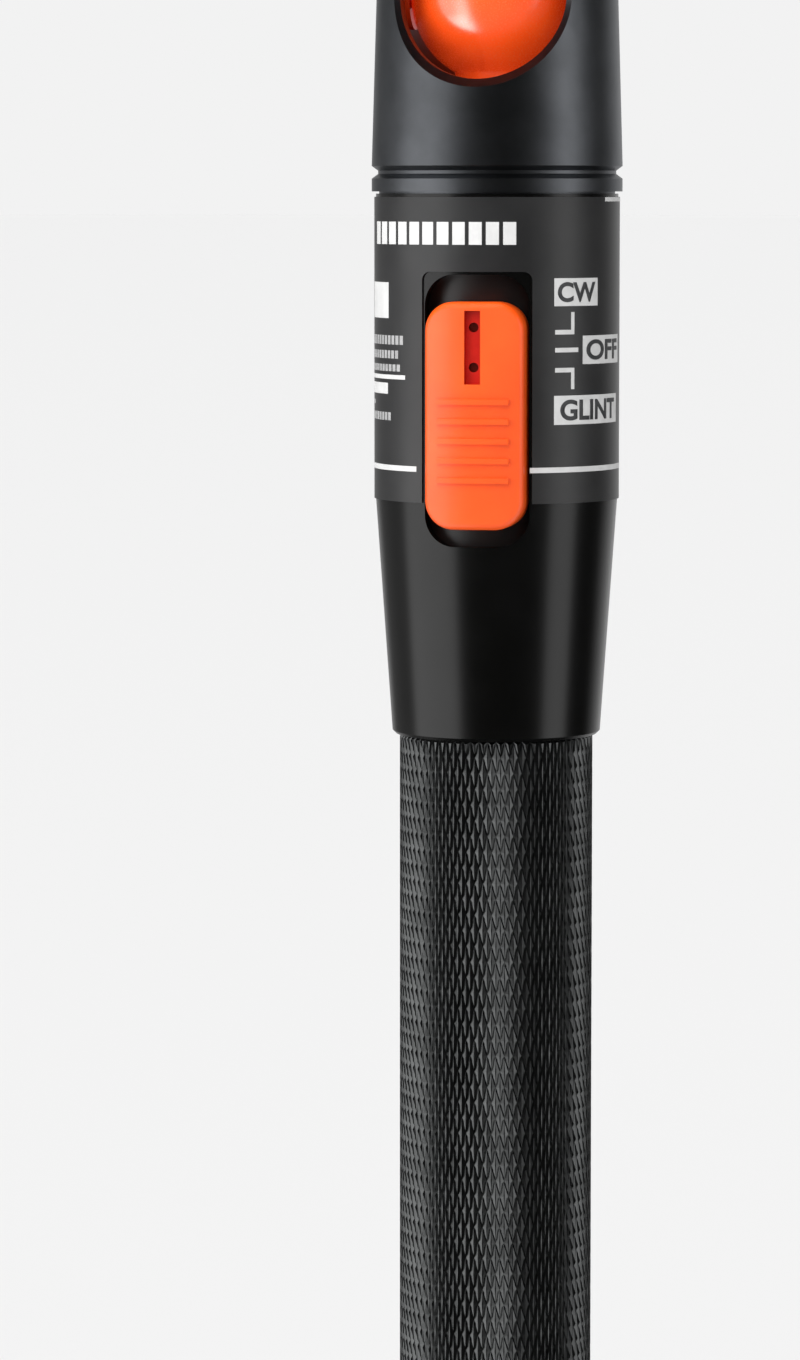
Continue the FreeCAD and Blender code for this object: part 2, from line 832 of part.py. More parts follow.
def make_guard():
    outer = guard_radius
    inner = outer - size("guard_wall")
    neck = size("guard_neck_radius") + size("neck_clearance")
    foot = neck + size("guard_foot_wall")
    foot_level = block_top + size("nozzle_flange")
    rise = ball_centre - foot_level
    ball = sphere("GuardBall", outer, ball_centre)
    stand = cylinder("GuardFoot", foot, rise, z=foot_level)
    pin = size("pin_radius")
    node("port_guard", cut("PortGuard", fused("GuardSolid", [ball, stand]), [
        sphere("GuardRoom", inner, ball_centre),
        cylinder("GuardNeck", neck, rise, z=foot_level),
        cylinder("GuardMouth", outer - size("guard_mouth_step"), outer * 2, z=ball_centre),
        cylinder("GuardPinBore", pin, outer * 4, x=-outer * 2, z=ball_centre, along=Vector(1, 0, 0)),
    ]))

    near = visor_near
    far = visor_far
    ear = size("visor_ear_radius")
    hollow = sphere("VisorInner", near, ball_centre)
    shell = cut("VisorShell", sphere("VisorOuter", far, ball_centre), [hollow])
    cap = doc.addObject("Part::Cone", "VisorCap")
    cap.Radius1 = 0
    cap.setExpression("Radius2", Size(f"{far} * 1.2 * tan({angle('visor_half_angle')})"))
    cap.setExpression("Height", Size(f"{far} * 1.2"))
    placed(cap, z=ball_centre)
    strap = block("VisorStrap", far * 3, ear * 2, Size(f"{far} * 1.2"), -ear, ball_centre)
    ears = cylinder("VisorEars", ear, far * 4, x=-far * 2, z=ball_centre, along=Vector(1, 0, 0))
    curved = shared("VisorCurved", [shell, fused("VisorMask", [cap, strap, ears])])
    root = far - size("visor_thickness") / 2
    lip_thickness = size("lip_thickness")
    lip_height = far + size("lip_height") - root
    tab = block("LipTab", size("lip_width"), lip_thickness, lip_height, -lip_thickness / 2, root)
    lip = doc.addObject("Part::Compound", "VisorLip")
    lip.Links = [tab]
    lip.Placement = Placement(Vector(), Rotation(Vector(1, 0, 0), mm(angle("lip_angle"))))
    placed(lip, z=ball_centre)
    node("port_visor", cut("PortVisor", fused("VisorSolid", [curved, lip]), [
        cylinder("VisorPinBore", pin + size("pin_clearance"), far * 4, x=-far * 2, z=ball_centre,
                 along=Vector(1, 0, 0)),
    ]))
    start = inner + size("pin_tail")
    length = far - size("pin_recess") - start
    for label, name, place in (
        ("pin_right", "PinRight", start),
        ("pin_left", "PinLeft", -start - length),
    ):
        node(label, cylinder(name, pin, length, x=place, z=ball_centre, along=Vector(1, 0, 0)))


# ---------------------------------------------------------------------------
# Port nozzle, split sleeve and laser
# ---------------------------------------------------------------------------


def make_port():
    flange = size("nozzle_flange_radius")
    flange_top = block_top + size("nozzle_flange")
    base = size("guard_neck_radius")
    tip_level = ball_centre + size("nozzle_above_ball")
    shoulder = flange_top + size("nozzle_shoulder")
    bevel = size("edge_break")
    sleeve_inner = size("ferrule_radius") + size("split_sleeve_clearance")
    sleeve_outer = sleeve_inner + size("split_sleeve_wall")
    room = sleeve_outer + size("fit_gap")
    tip = room + size("nozzle_wall")
    lip = size("ferrule_radius") + size("nozzle_lip_clearance")
    lip_level = tip_level - size("nozzle_lip")
    seat_level = flange_top + size("split_sleeve_seat")
    sleeve_length = lip_level - size("fit_gap") - seat_level
    beam = size("beam_radius")
    node("port_nozzle", turned("PortNozzle", [
        (beam, block_top),
        (flange, block_top),
        (flange, flange_top),
        (base, flange_top),
        (base, shoulder),
        (tip, shoulder + size("nozzle_taper")),
        (tip, tip_level - bevel),
        (tip - bevel, tip_level),
        (lip + size("nozzle_lip_flare"), tip_level),
        (lip, lip_level),
        (room, lip_level),
        (room, seat_level),
        (beam, seat_level),
    ]))
    tube = ring("SplitTube", sleeve_outer, sleeve_inner, sleeve_length, seat_level)
    slit = block("SplitSlit", size("split_sleeve_slit"), sleeve_outer * 2, sleeve_length, ZERO,
                 seat_level)
    node("split_sleeve", cut("SplitSleeve", tube, [slit]))

    lens_radius = size("diode_can_radius") + size("diode_can_gap")
    lens_top = block_top - size("lens_drop")
    seat = block_foot + size("diode_seat_depth")
    pocket = size("diode_flange_radius") + size("fit_gap")
    body = size("block_radius")
    rim = size("block_flange_radius")
    node("laser_block", turned("LaserBlock", [
        (beam, lens_top),
        (lens_radius, lens_top),
        (lens_radius, seat),
        (pocket, seat),
        (pocket, block_foot),
        (body - bevel, block_foot),
        (body, block_foot + bevel),
        (body, collar_neck_top),
        (rim, collar_neck_top),
        (rim, block_top),
        (beam, block_top),
    ]))
    thick = size("lens_thickness")
    bulge = size("lens_bulge")
    node("focus_lens", shared("FocusLens", [
        cylinder("LensRod", lens_radius, thick, z=lens_top - thick),
        sphere("LensBulge", bulge, lens_top - thick + bulge),
    ]))

    can = cylinder("DiodeCan", size("diode_can_radius"), size("diode_can_length"), z=seat)
    plate_foot = seat - size("diode_flange")
    plate = cylinder("DiodePlate", size("diode_flange_radius"), size("diode_flange"), z=plate_foot)
    circle = size("diode_lead_circle")
    leads = []
    for number in range(3):
        turn = Size(f"{120 * number + 90} deg")
        leads.append(cylinder(f"DiodeLead{number}", size("diode_lead_radius"), size("diode_lead_length"),
                              x=Size(f"({circle} * cos({turn}))"), y=Size(f"({circle} * sin({turn}))"),
                              z=plate_foot - size("diode_lead_length")))
    node("laser_diode", fused("LaserDiode", [can, plate] + leads))


make_tail_cap()
make_tube()
make_cell("rear_cell", "RearCell", rear_cell_foot + size("cell_length"))
make_cell("front_cell", "FrontCell", ledge_top)
make_contacts()
make_housing()
make_button()
make_electronics()
make_collar()
make_head()
make_guard()
make_port()
doc.recompute()

# ---------------------------------------------------------------------------
# Checks and files
# ---------------------------------------------------------------------------

for made in doc.Objects:
    if "Invalid" in made.State or "Error" in made.State:
        raise RuntimeError(f"{made.Name} failed: {made.State}")

os.makedirs("parts", exist_ok=True)
for label, made in NODES.items():
    solid = made.Shape
    if solid.isNull() or not solid.isValid() or len(solid.Solids) != 1:
        raise RuntimeError(f"{label} is not one valid solid")
    solid.exportStep(f"parts/{label}.step")
    box = solid.BoundBox
    print(f"{label:18} {solid.Volume:9.1f} mm3  z {box.ZMin:7.2f} to {box.ZMax:7.2f}")
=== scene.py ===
import bpy, bmesh, json, math
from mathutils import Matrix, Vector


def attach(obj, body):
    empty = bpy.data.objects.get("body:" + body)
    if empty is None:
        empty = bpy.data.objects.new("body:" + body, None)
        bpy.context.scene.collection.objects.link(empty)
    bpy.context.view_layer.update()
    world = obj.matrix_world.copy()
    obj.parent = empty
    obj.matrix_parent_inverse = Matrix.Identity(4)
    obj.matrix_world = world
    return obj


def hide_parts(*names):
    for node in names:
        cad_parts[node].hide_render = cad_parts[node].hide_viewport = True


mm = 0.001
mergeGap = 0.001 * mm  # points nearer than this are one
crispAngle = 28  # degrees: a sharper edge stays crisp

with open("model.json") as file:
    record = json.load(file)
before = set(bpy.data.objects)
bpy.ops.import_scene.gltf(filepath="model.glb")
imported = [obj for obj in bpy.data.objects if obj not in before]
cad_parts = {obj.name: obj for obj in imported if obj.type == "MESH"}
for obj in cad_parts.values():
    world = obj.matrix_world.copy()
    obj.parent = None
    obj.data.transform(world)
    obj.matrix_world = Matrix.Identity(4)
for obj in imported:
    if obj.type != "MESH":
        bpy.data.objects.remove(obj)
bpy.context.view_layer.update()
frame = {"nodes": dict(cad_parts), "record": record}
nodes = frame["nodes"]
bodyOf = {name: body for body, names in frame["record"]["behaviour"]["bodies"].items() for name in names}
slotOf = {part["node"]: part["material_slot"] for part in frame["record"]["subparts"]}
print("frame loaded:", len(nodes), "nodes")


# finishes: two clouded tones, a roughness range and a fine grain; cloud and grain are noise scales to the metre,
# and depth is the height of the grain's bump in millimetres
finishes = {
    "anodisedBlack": {
        "tones": [(0.085, 0.088, 0.094), (0.115, 0.119, 0.127)], "cloud": 300, "rough": (0.30, 0.40),
        "grain": 14000, "bump": 0.25, "depth": 0.006, "shader": {"Metallic": 1.0},
    },
    "gripBlack": {
        "tones": [(0.125, 0.129, 0.129), (0.170, 0.175, 0.175)], "cloud": 420, "rough": (0.27, 0.39),
        "grain": 9000, "bump": 0.30, "depth": 0.006, "shader": {"Metallic": 1.0},
    },
    "headBlack": {
        "tones": [(0.200, 0.209, 0.224), (0.240, 0.251, 0.269)], "cloud": 260, "rough": (0.38, 0.44),
        "grain": 16000, "bump": 0.35, "depth": 0.005, "shader": {"Metallic": 1.0},
    },
    "glossBlack": {
        "tones": [(0.0018, 0.0018, 0.0016), (0.0028, 0.0028, 0.0026)], "cloud": 220, "rough": (0.22, 0.29),
        "grain": 7000, "bump": 0.10, "depth": 0.003, "shader": {"Specular IOR Level": 0.62},
    },
    "trayBlack": {
        "tones": [(0.005, 0.005, 0.005), (0.008, 0.008, 0.008)], "cloud": 260, "rough": (0.36, 0.44),
        "grain": 9000, "bump": 0.18, "depth": 0.004,
        "shader": {"Specular IOR Level": 0.9, "Coat Weight": 0.2, "Coat Roughness": 0.4},
    },
    "printedFilm": {
        "tones": [(0.014, 0.014, 0.0145), (0.019, 0.019, 0.0195)], "cloud": 240, "rough": (0.46, 0.54),
        "grain": 11000, "bump": 0.18, "depth": 0.004,
        "shader": {"Specular IOR Level": 0.9, "Coat Weight": 0.5, "Coat Roughness": 0.34},
    },
    "printWhite": {
        "tones": [(0.62, 0.62, 0.615), (0.68, 0.68, 0.675)], "cloud": 900, "rough": (0.42, 0.52),
        "grain": 12000, "bump": 0.10, "depth": 0.003, "shader": {},
    },
    "printGrey": {
        "tones": [(0.34, 0.34, 0.34), (0.42, 0.42, 0.42)], "cloud": 900, "rough": (0.42, 0.52),
        "grain": 12000, "bump": 0.10, "depth": 0.003, "shader": {},
    },
    "printDark": {
        "tones": [(0.040, 0.041, 0.043), (0.052, 0.053, 0.055)], "cloud": 900, "rough": (0.42, 0.50),
        "grain": 12000, "bump": 0.10, "depth": 0.003, "shader": {},
    },
    "orangePlastic": {
        "tones": [(0.93, 0.092, 0.005), (1.0, 0.106, 0.007)], "cloud": 180, "rough": (0.30, 0.38),
        "grain": 9000, "bump": 0.12, "depth": 0.004,
        "shader": {"Specular IOR Level": 0.9, "Subsurface Weight": 0.12,
                   "Subsurface Radius": (0.0016, 0.0005, 0.0002), "Subsurface Scale": 1.0},
    },
    # this orange has a painted glow: its emission brightens the ball's shaded lower part, though the ball is no lamp
    "orangeGlossPaintedGlow": {
        "tones": [(0.90, 0.085, 0.006), (0.97, 0.102, 0.009)], "cloud": 160, "rough": (0.24, 0.30),
        "grain": 6000, "bump": 0.08, "depth": 0.003,
        "shader": {"Subsurface Weight": 0.10, "Subsurface Radius": (0.0016, 0.0005, 0.0002),
                   "Subsurface Scale": 1.0, "Specular IOR Level": 1.0, "Coat Weight": 1.0, "Coat IOR": 1.8,
                   "Coat Roughness": 0.22, "Emission Color": (0.90, 0.05, 0.008, 1),
                   "Emission Strength": 0.28},
    },
    # this orange is the same plastic painted darker: painted shade for the visor, which sits deep in the head's
    # window
    "orangeVisorPaintedShade": {
        "tones": [(0.66, 0.045, 0.005), (0.74, 0.055, 0.006)], "cloud": 200, "rough": (0.26, 0.34),
        "grain": 7000, "bump": 0.10, "depth": 0.003, "shader": {"Specular IOR Level": 0.5},
    },
    # these two oranges are painted shade: the first darkens the floor of the button's sunk mark, the second, darker
    # still, its two holes
    "orangeDeepPaintedShade": {
        "tones": [(0.50, 0.006, 0.001), (0.56, 0.009, 0.0015)], "cloud": 900, "rough": (0.40, 0.50),
        "grain": 9000, "bump": 0.12, "depth": 0.004, "shader": {"Specular IOR Level": 0.3},
    },
    "orangeShade": {
        "tones": [(0.13, 0.006, 0.002), (0.18, 0.008, 0.002)], "cloud": 900, "rough": (0.50, 0.60),
        "grain": 9000, "bump": 0.12, "depth": 0.004, "shader": {"Specular IOR Level": 0.2},
    },
    "darkPlastic": {
        "tones": [(0.016, 0.016, 0.018), (0.024, 0.024, 0.026)], "cloud": 500, "rough": (0.34, 0.44),
        "grain": 10000, "bump": 0.2, "depth": 0.005, "shader": {},
    },
    "naturalPlastic": {
        "tones": [(0.66, 0.62, 0.53), (0.74, 0.70, 0.62)], "cloud": 500, "rough": (0.45, 0.55),
        "grain": 9000, "bump": 0.15, "depth": 0.005, "shader": {},
    },
    "sealRubber": {
        "tones": [(0.012, 0.012, 0.012), (0.02, 0.02, 0.02)], "cloud": 700, "rough": (0.6, 0.75),
        "grain": 8000, "bump": 0.3, "depth": 0.008, "shader": {},
    },
    "springSteel": {
        "tones": [(0.50, 0.50, 0.51), (0.62, 0.62, 0.63)], "cloud": 900, "rough": (0.22, 0.32),
        "grain": 9000, "bump": 0.15, "depth": 0.004, "shader": {"Metallic": 1.0},
    },
    "pinSteel": {
        "tones": [(0.48, 0.48, 0.49), (0.58, 0.58, 0.59)], "cloud": 900, "rough": (0.22, 0.32),
        "grain": 9000, "bump": 0.15, "depth": 0.004, "shader": {"Metallic": 1.0},
    },
    "nickelSteel": {
        "tones": [(0.60, 0.58, 0.54), (0.70, 0.68, 0.64)], "cloud": 700, "rough": (0.18, 0.28),
        "grain": 8000, "bump": 0.12, "depth": 0.004, "shader": {"Metallic": 1.0},
    },
    "contactBrass": {
        "tones": [(0.66, 0.46, 0.17), (0.78, 0.57, 0.24)], "cloud": 600, "rough": (0.22, 0.34),
        "grain": 8000, "bump": 0.15, "depth": 0.004, "shader": {"Metallic": 1.0},
    },
    "cellJacket": {
        "tones": [(0.10, 0.12, 0.15), (0.16, 0.18, 0.21)], "cloud": 120, "rough": (0.24, 0.34),
        "grain": 5000, "bump": 0.10, "depth": 0.004, "shader": {"Metallic": 0.6},
    },
    "boardGreen": {
        "tones": [(0.010, 0.13, 0.05), (0.02, 0.20, 0.08)], "cloud": 900, "rough": (0.28, 0.40),
        "grain": 6000, "bump": 0.15, "depth": 0.005, "shader": {},
    },
    "chipBlack": {
        "tones": [(0.016, 0.016, 0.017), (0.026, 0.026, 0.028)], "cloud": 900, "rough": (0.5, 0.62),
        "grain": 15000, "bump": 0.25, "depth": 0.005, "shader": {},
    },
    "capacitorCan": {
        "tones": [(0.52, 0.52, 0.54), (0.62, 0.62, 0.64)], "cloud": 800, "rough": (0.24, 0.34),
        "grain": 8000, "bump": 0.12, "depth": 0.004, "shader": {"Metallic": 1.0},
    },
    "whiteCeramic": {
        "tones": [(0.86, 0.85, 0.81), (0.92, 0.91, 0.88)], "cloud": 600, "rough": (0.12, 0.20),
        "grain": 7000, "bump": 0.05, "depth": 0.003, "shader": {},
    },
    "lensGlass": {
        "tones": [(0.90, 0.94, 0.98), (0.95, 0.98, 1.0)], "cloud": 300, "rough": (0.02, 0.05),
        "grain": 4000, "bump": 0.03, "depth": 0.002, "shader": {"Transmission Weight": 1.0, "IOR": 1.5},
    },
}
materialOfSlot = {
    "anodised_black": "anodisedBlack", "head_black": "headBlack", "gloss_black": "glossBlack",
    "grip_black": "gripBlack", "printed_film": "printedFilm", "orange_plastic": "orangePlastic",
    "dark_plastic": "darkPlastic", "natural_plastic": "naturalPlastic", "seal_rubber": "sealRubber",
    "spring_steel": "springSteel", "pin_steel": "pinSteel", "nickel_steel": "nickelSteel",
    "contact_brass": "contactBrass", "cell_jacket": "cellJacket", "board_green": "boardGreen",
    "chip_black": "chipBlack", "capacitor_can": "capacitorCan", "zirconia": "whiteCeramic",
    "lens_glass": "lensGlass",
}
noiseDetail = {"cloud": 4, "grain": 3}
toneStops = (0.35, 0.65)  # where the clouds turn from the first tone to the second


def addNoise(tree, coords, look, kind):
    noise = tree.nodes.new("ShaderNodeTexNoise")
    noise.inputs["Scale"].default_value = look[kind]
    noise.inputs["Detail"].default_value = noiseDetail[kind]
    tree.links.new(coords.outputs["Object"], noise.inputs["Vector"])
    return noise


def makeFinish(name):
    look = finishes[name]
    material = bpy.data.materials.new(name)
    material.use_nodes = True
    tree = material.node_tree
    shader = tree.nodes["Principled BSDF"]
    for socket, value in look["shader"].items():
        shader.inputs[socket].default_value = value
    coords = tree.nodes.new("ShaderNodeTexCoord")
    cloud = addNoise(tree, coords, look, "cloud")
    tones = tree.nodes.new("ShaderNodeValToRGB")
    for element, stop, tone in zip(tones.color_ramp.elements, toneStops, look["tones"]):
        element.position, element.color = stop, (*tone, 1)
    tree.links.new(cloud.outputs["Fac"], tones.inputs["Fac"])
    tree.links.new(tones.outputs["Color"], shader.inputs["Base Color"])
    grain = addNoise(tree, coords, look, "grain")
    polish = tree.nodes.new("ShaderNodeMapRange")
    polish.inputs["To Min"].default_value, polish.inputs["To Max"].default_value = look["rough"]
    tree.links.new(grain.outputs["Fac"], polish.inputs["Value"])
    tree.links.new(polish.outputs["Result"], shader.inputs["Roughness"])
    bump = tree.nodes.new("ShaderNodeBump")
    bump.inputs["Strength"].default_value = look["bump"]
    bump.inputs["Distance"].default_value = look["depth"] * mm
    tree.links.new(grain.outputs["Fac"], bump.inputs["Height"])
    tree.links.new(bump.outputs["Normal"], shader.inputs["Normal"])
    return material


materials = {name: makeFinish(name) for name in finishes}
print("finishes made:", len(materials))


def softenEdges(bm, degrees):
    for face in bm.faces:
        face.smooth = True
    for edge in bm.edges:
        edge.smooth = len(edge.link_faces) == 2 and edge.calc_face_angle(0) < math.radians(degrees)


def makePiece(name, bm, finishNames, body, stands=()):
    mesh = bpy.data.meshes.new(name)
    bm.to_mesh(mesh)
    bm.free()
    for each in finishNames:
        mesh.materials.append(materials[each])
    piece = bpy.data.objects.new(name, mesh)
    bpy.context.scene.collection.objects.link(piece)
    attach(piece, body)
    if stands:
        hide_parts(*stands)


# nodes in view become merged copies with smooth faces and crisp edges; the others keep their mesh
inView = {
    "head_shell": ["headBlack"], "collar": ["headBlack"], "switch_housing": ["glossBlack"],
    "printed_sleeve": ["printedFilm"], "slide_tray": ["trayBlack"],
    "thumb_button": ["orangePlastic", "orangeDeepPaintedShade", "orangeShade"], "tail_cap": ["anodisedBlack"],
    "port_guard": ["orangeGlossPaintedGlow"], "port_visor": ["orangeVisorPaintedShade"], "pin_right": ["pinSteel"],
    "pin_left": ["pinSteel"], "port_nozzle": ["nickelSteel"], "split_sleeve": ["whiteCeramic"],
    "laser_block": ["contactBrass"],
}
# the button's sunk mark, in millimetres: its floor takes finish 1 and its two holes take finish 2, both painted
# shade, darker red-orange where the recess lies in shade
buttonMark = {
    "half": 0.755, "foot": 133.54, "top": 140.36, "mouth": -12.84, "floor": -12.095, "back": -11.3,
    "floorPaintedShade": 1, "holePaintedShade": 2,
}


# paints shade into the sunk mark: faces of its floor and holes take the darker oranges
def shadeMark(bm, mark):
    for face in bm.faces:
        spots = [vert.co / mm for vert in face.verts]
        inside = all(abs(spot.x) < mark["half"] and mark["foot"] < spot.z < mark["top"] and spot.y < mark["back"]
                     for spot in spots)
        deepest = max(spot.y for spot in spots)
        if inside and deepest > mark["mouth"]:
            face.material_index = mark["holePaintedShade"] if deepest > mark["floor"] else mark["floorPaintedShade"]


for name, node in nodes.items():
    if name in inView:
        bm = bmesh.new()
        bm.from_mesh(node.data)
        bmesh.ops.remove_doubles(bm, verts=bm.verts, dist=mergeGap)
        bmesh.ops.dissolve_degenerate(bm, edges=bm.edges, dist=mergeGap / 10)
        softenEdges(bm, crispAngle)
        if name == "thumb_button":
            shadeMark(bm, buttonMark)
        makePiece(name + "Shown", bm, inView[name], bodyOf[name], [name])
    elif name != "grip_tube":
        node.data.materials.clear()
        node.data.materials.append(materials[materialOfSlot[slotOf[name]]])
print("CAD nodes dressed")


# battery tube: a turned body, radius and height in millimetres, with the diamond knurl wrapped round it
gripTube = {
    "outline": [(8.1, 0.0), (8.6, 0.0), (9.2, 0.6), (9.2, 7.35), (8.95, 7.6), (8.95, 100.0), (8.7, 100.0),
                (8.7, 111.2), (8.4, 111.5), (7.5, 111.5), (7.5, 13.2), (8.1, 13.2)],
    "steps": 128,
    "knurlFoot": 7.75, "knurlTop": 99.95, "rows": 31, "around": 70,
    "valley": 8.995, "flank": 0.345, "rise": 0.185, "root": 8.6, "seam": 0.01,
}


def turnOutline(outline, steps):
    bm = bmesh.new()
    corners = [bm.verts.new((radius * mm, 0, height * mm)) for radius, height in outline]
    edges = [bm.edges.new(pair) for pair in zip(corners, corners[1:] + corners[:1])]
    bmesh.ops.spin(bm, geom=corners + edges, cent=(0, 0, 0), axis=(0, 0, 1), angle=math.tau, steps=steps,
                   use_merge=True)
    bmesh.ops.remove_doubles(bm, verts=bm.verts, dist=mergeGap)
    bmesh.ops.recalc_face_normals(bm, faces=bm.faces)
    return bm


bm = turnOutline(gripTube["outline"], gripTube["steps"])
softenEdges(bm, crispAngle)
makePiece("gripTubeBody", bm, ["gripBlack"], "housing", ["grip_tube"])


def wrapRound(bm, radius):  # flat x and y become the way round and the way up
    for vert in bm.verts:
        turn = vert.co.x / radius
        reach = radius + vert.co.z
        vert.co = Vector((reach * math.sin(turn), -reach * math.cos(turn), vert.co.y))


def knurlSkin(grip):
    radius, foot, seamGap = grip["valley"] * mm, grip["knurlFoot"] * mm, grip["seam"] * mm
    length = (grip["knurlTop"] - grip["knurlFoot"]) * mm
    bm = bmesh.new()
    bmesh.ops.create_grid(bm, x_segments=grip["around"], y_segments=grip["rows"], size=0.5)
    bmesh.ops.scale(bm, vec=(math.tau * radius, length, 1), verts=bm.verts)
    bmesh.ops.translate(bm, vec=(0, foot + length / 2, 0), verts=bm.verts)
    gridEdges = bm.edges[:]
    bmesh.ops.poke(bm, faces=bm.faces)
    wrapRound(bm, radius)
    seam = [vert for vert in bm.verts if vert.co.y > 0 and abs(vert.co.x) < seamGap]
    bmesh.ops.remove_doubles(bm, verts=seam, dist=seamGap)
    inner = [edge for edge in gridEdges if edge.is_valid and len(edge.link_faces) == 2]
    bmesh.ops.dissolve_edges(bm, edges=inner, use_verts=False, use_face_split=False)  # leaves the diamonds
    bmesh.ops.recalc_face_normals(bm, faces=bm.faces)
    bmesh.ops.inset_individual(bm, faces=bm.faces[:], thickness=grip["flank"] * mm, depth=grip["rise"] * mm)
    ends = [edge for edge in bm.edges if edge.is_boundary]
    inward = bmesh.ops.extrude_edge_only(bm, edges=ends)["geom"]
    lips = [item for item in inward if isinstance(item, bmesh.types.BMVert)]
    shrink = grip["root"] / grip["valley"]
    bmesh.ops.scale(bm, vec=(shrink, shrink, 1), verts=lips)
    rims = [item for item in inward
            if isinstance(item, bmesh.types.BMEdge) and all(vert in lips for vert in item.verts)]
    bmesh.ops.bridge_loops(bm, edges=rims)  # closes the skin on its inner side
    bmesh.ops.recalc_face_normals(bm, faces=bm.faces)
    return bm


bm = knurlSkin(gripTube)
print("knurl faces:", len(bm.faces), "open edges:", sum(edge.is_boundary for edge in bm.edges))
makePiece("gripKnurl", bm, ["gripBlack"], "housing")
print("battery tube made")


# screw thread on the tail plug, in millimetres
plugThread = {
    "root": 7.58, "crest": 7.98, "foot": 9.35, "turns": 3, "pitch": 1.0, "halfWidth": 0.42, "flat": 0.25,
    "steps": 48, "crispAngle": 40,
}


def threadRidge(thread):
    root, crest, half = thread["root"] * mm, thread["crest"] * mm, thread["halfWidth"] * mm
    shape = [(root, -half), (crest, -half * thread["flat"]), (crest, half * thread["flat"]), (root, half)]
    bm = bmesh.new()
    section = bm.faces.new([bm.verts.new((radius, 0, thread["foot"] * mm + height)) for radius, height in shape])
    bmesh.ops.spin(bm, geom=[section], cent=(0, 0, 0), axis=(0, 0, 1),
                   dvec=(0, 0, thread["pitch"] * mm / thread["steps"]), angle=math.tau * thread["turns"],
                   steps=thread["steps"] * thread["turns"], use_merge=False)
    bmesh.ops.remove_doubles(bm, verts=bm.verts, dist=mergeGap)
    bmesh.ops.recalc_face_normals(bm, faces=bm.faces)
    return bm


bm = threadRidge(plugThread)
softenEdges(bm, plugThread["crispAngle"])
makePiece("plugThread", bm, ["anodisedBlack"], "tail")
print("plug thread made")


# print on the sleeve: each mark is its start and end in degrees from the front and its foot and top in
# millimetres, and the rest is in millimetres too
sleevePrint = {
    "radius": 11.6, "lift": 0.012, "skin": 0.012, "cell": 0.4,
    "switchWords": [("CW", 37.5, 64.2, 140.72, 143.30), ("OFF", 53.8, 88.5, 135.30, 137.95),
                    ("GLINT", 37.5, 85.2, 129.72, 132.42)],
    "wordFill": (0.86, 0.72), "wordWeight": 0.03,
    "ticks": [(38.0, 48.6, 138.10, 138.52), (46.7, 48.6, 138.10, 140.16), (38.0, 51.0, 136.44, 136.86),
              (38.0, 48.6, 134.58, 135.00), (46.7, 48.6, 133.01, 135.00)],
    "ringLine": (25.6, 330.4, 125.28, 125.78),
    "topLine": (70.5, 263.5, 150.38, 150.78),
    "titleBlocks": {"from": -66.0, "to": 20.9, "count": 11, "fill": 0.76, "foot": 146.40, "top": 148.50},
    "sideBars": [(-74.0, -50.7, 139.50, 142.85), (-78.0, -37.3, 133.82, 134.22), (-76.0, -51.4, 132.42, 133.45)],
    "textRows": {"dash": 3.4, "fill": 0.72, "rows": [(-78.0, -37.9, 137.05, 137.90), (-78.0, -41.5, 135.75, 136.50),
                 (-78.0, -40.1, 134.55, 135.20), (-78.0, -69.0, 131.40, 131.80), (-78.0, -47.7, 129.95, 130.70)]},
    "layers": {"marks": 1, "words": 2.6},
}


def flatSpan(layout, start, end, foot, top):  # width, height and middle of a patch before it is wrapped
    radius = layout["radius"] * mm
    width, height = math.radians(end - start) * radius, (top - foot) * mm
    return width, height, (math.radians((start + end) / 2) * radius, foot * mm + height / 2, 0)


def curvedPatch(layout, *edges):
    width, height, middle = flatSpan(layout, *edges)
    bm = bmesh.new()
    cells = max(1, math.ceil(width / (layout["cell"] * mm)))
    bmesh.ops.create_grid(bm, x_segments=cells, y_segments=1, size=0.5)
    bmesh.ops.scale(bm, vec=(width, height, 1), verts=bm.verts)
    bmesh.ops.translate(bm, vec=middle, verts=bm.verts)
    return bm


def flatWord(layout, word, *edges):
    width, height, middle = flatSpan(layout, *edges)
    curve = bpy.data.curves.new(word, "FONT")
    curve.body, curve.align_x, curve.align_y = word, "CENTER", "CENTER"
    curve.offset = layout["wordWeight"]
    holder = bpy.data.objects.new(word, curve)
    bpy.context.scene.collection.objects.link(holder)
    bpy.context.view_layer.update()
    mesh = bpy.data.meshes.new_from_object(holder)
    bpy.data.objects.remove(holder)
    bm = bmesh.new()
    bm.from_mesh(mesh)
    low = [min(vert.co[axis] for vert in bm.verts) for axis in (0, 1)]
    high = [max(vert.co[axis] for vert in bm.verts) for axis in (0, 1)]
    bmesh.ops.translate(bm, vec=(-(low[0] + high[0]) / 2, -(low[1] + high[1]) / 2, 0), verts=bm.verts)
    stretch = [side * fill / (high[axis] - low[axis])
               for axis, (side, fill) in enumerate(zip((width, height), layout["wordFill"]))]
    bmesh.ops.scale(bm, vec=(*stretch, 1), verts=bm.verts)
    for number in range(int(width / (layout["cell"] * mm))):  # cuts that let the word bend
        cut = (number + 1) * layout["cell"] * mm - width / 2
        bmesh.ops.bisect_plane(bm, geom=bm.verts[:] + bm.edges[:] + bm.faces[:], plane_co=(cut, 0, 0),
                               plane_no=(1, 0, 0), dist=mergeGap / 100)
    bmesh.ops.translate(bm, vec=middle, verts=bm.verts)
    return bm


def dashes(start, end, foot, top, count, fill):
    pitch = (end - start) / count
    return [(start + pitch * number, start + pitch * (number + fill), foot, top) for number in range(count)]


def printOnSleeve(name, patches, layout, layer, finish):
    whole = bmesh.new()
    for patch in patches:
        wrapRound(patch, (layout["radius"] + layout["lift"] * layout["layers"][layer]) * mm)
        bmesh.ops.recalc_face_normals(patch, faces=patch.faces)
        bmesh.ops.solidify(patch, geom=patch.faces[:], thickness=layout["skin"] * mm)
        bmesh.ops.recalc_face_normals(patch, faces=patch.faces)
        mesh = bpy.data.meshes.new("patch")
        patch.to_mesh(mesh)
        patch.free()
        whole.from_mesh(mesh)
        bpy.data.meshes.remove(mesh)
    makePiece(name, whole, [finish], "housing")


